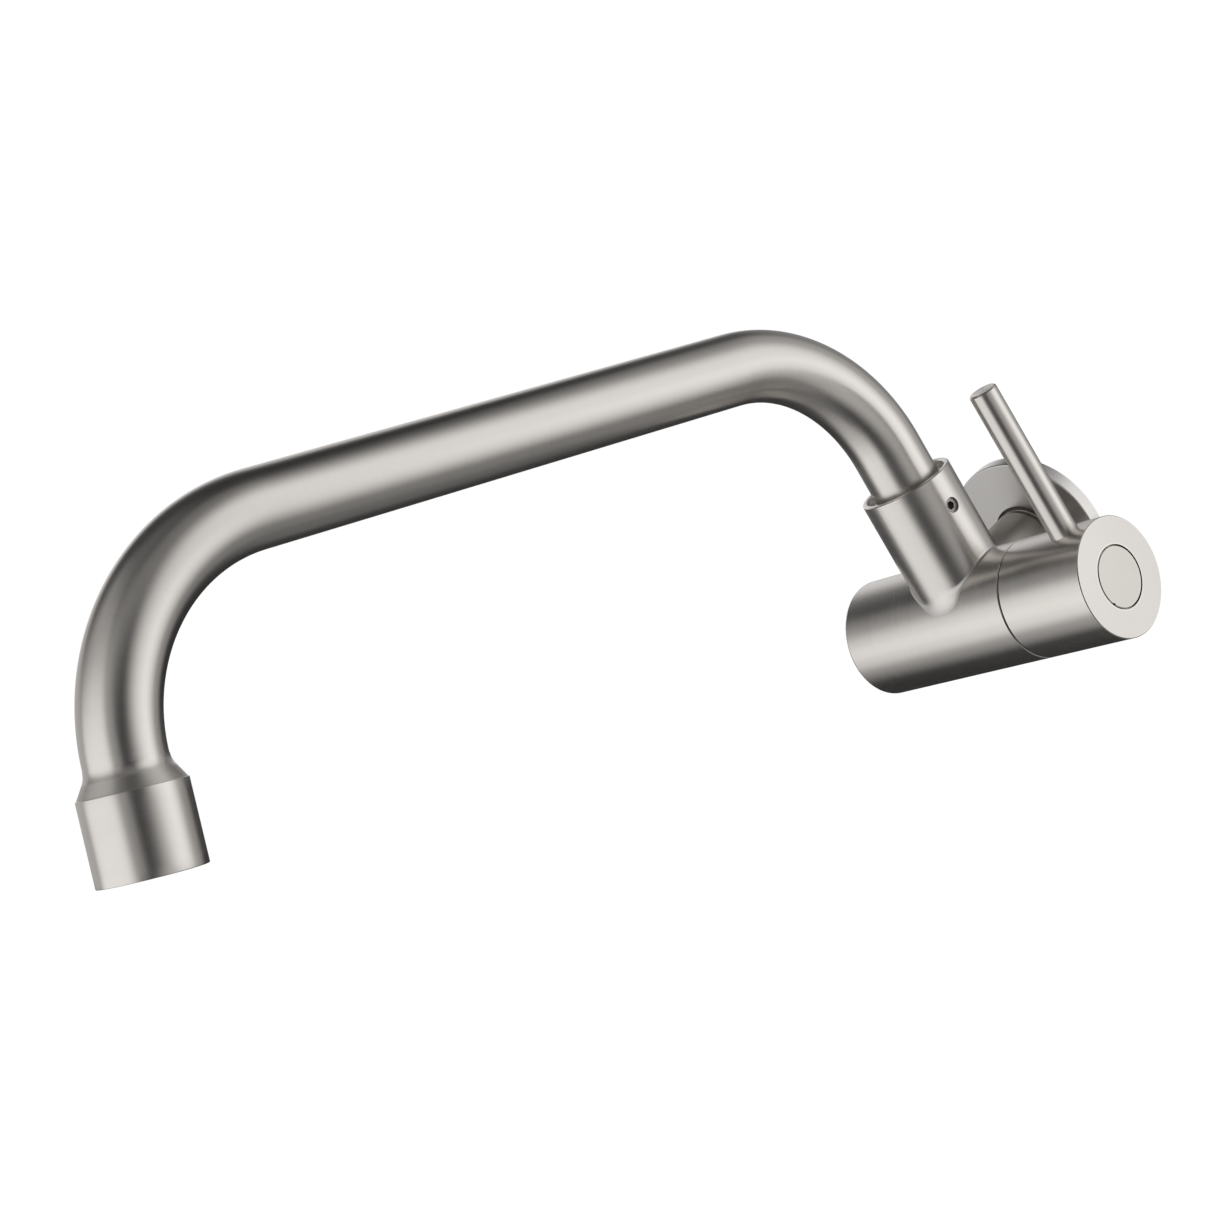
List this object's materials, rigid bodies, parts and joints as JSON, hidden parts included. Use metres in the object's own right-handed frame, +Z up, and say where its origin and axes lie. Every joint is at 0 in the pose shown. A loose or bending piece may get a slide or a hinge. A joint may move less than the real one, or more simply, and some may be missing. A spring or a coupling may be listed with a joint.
{
  "type": "wall tap",
  "caption": "Wall-mounted single-inlet kitchen tap: horizontal body, swivelling bent spout on an upright socket, side lever that opens in a quarter turn.",
  "frame": {"origin": "on the axis of the inlet thread where it enters the wall", "axes": "+X along the body towards the lever, +Y along the inlet into the wall, +Z up along the spout's socket"},
  "size_m": [0.1035, 0.3698, 0.2005],
  "materials": {
    "brushed_stainless": "fine satin brushed stainless steel",
    "turned_stainless": "turned stainless steel",
    "polished_stainless": "near-polished stainless steel",
    "brass": "machined brass",
    "rubber": "black EPDM",
    "ceramic": "lapped alumina",
    "white_plastic": "moulded acetal",
    "grey_plastic": "moulded acetal"
  },
  "bodies": {
    "tap_body": {"body_tube": "brushed_stainless", "body_end_plug": "brushed_stainless", "inlet_branch": "brushed_stainless", "inlet_gasket": "rubber", "spout_socket": "brushed_stainless", "spout_bush": "white_plastic", "socket_grub_screw": "turned_stainless", "valve_seat": "turned_stainless", "headwork_ring": "turned_stainless", "headwork_body": "brass", "headwork_gasket": "rubber", "seat_seal": "rubber", "fixed_disc": "ceramic", "thrust_washer": "white_plastic"},
    "wall_flange": {"wall_flange": "brushed_stainless"},
    "spout": {"spout_pipe": "brushed_stainless", "spout_tail": "turned_stainless", "spout_o_rings": "rubber", "outlet_collar": "brushed_stainless", "aerator_housing": "turned_stainless", "aerator_honeycomb": "grey_plastic", "aerator_diffuser": "grey_plastic", "aerator_washer": "rubber"},
    "handle": {"handle_hub": "brushed_stainless", "lever_rod": "brushed_stainless", "button_cap": "polished_stainless", "hub_screw": "turned_stainless", "spindle": "brass", "moving_disc": "ceramic", "spindle_o_rings": "rubber", "spindle_circlip": "turned_stainless"}
  },
  "joints": [
    {"name": "spout_swivel", "type": "hinge", "parent": "tap_body", "child": "spout", "pos_m": [0.0174, -0.0609, 0.0435], "axis": [0, 0, 1], "range_deg": [-85.2, 94.8]},
    {"name": "handle_turn", "type": "hinge", "parent": "tap_body", "child": "handle", "pos_m": [0.0651, -0.0609, 0], "axis": [1, 0, 0], "range_deg": [0, 90]},
    {"name": "flange_slide", "type": "slide", "parent": "tap_body", "child": "wall_flange", "axis": [0, -1, 0], "range_m": [0, 0.024]}
  ]
}
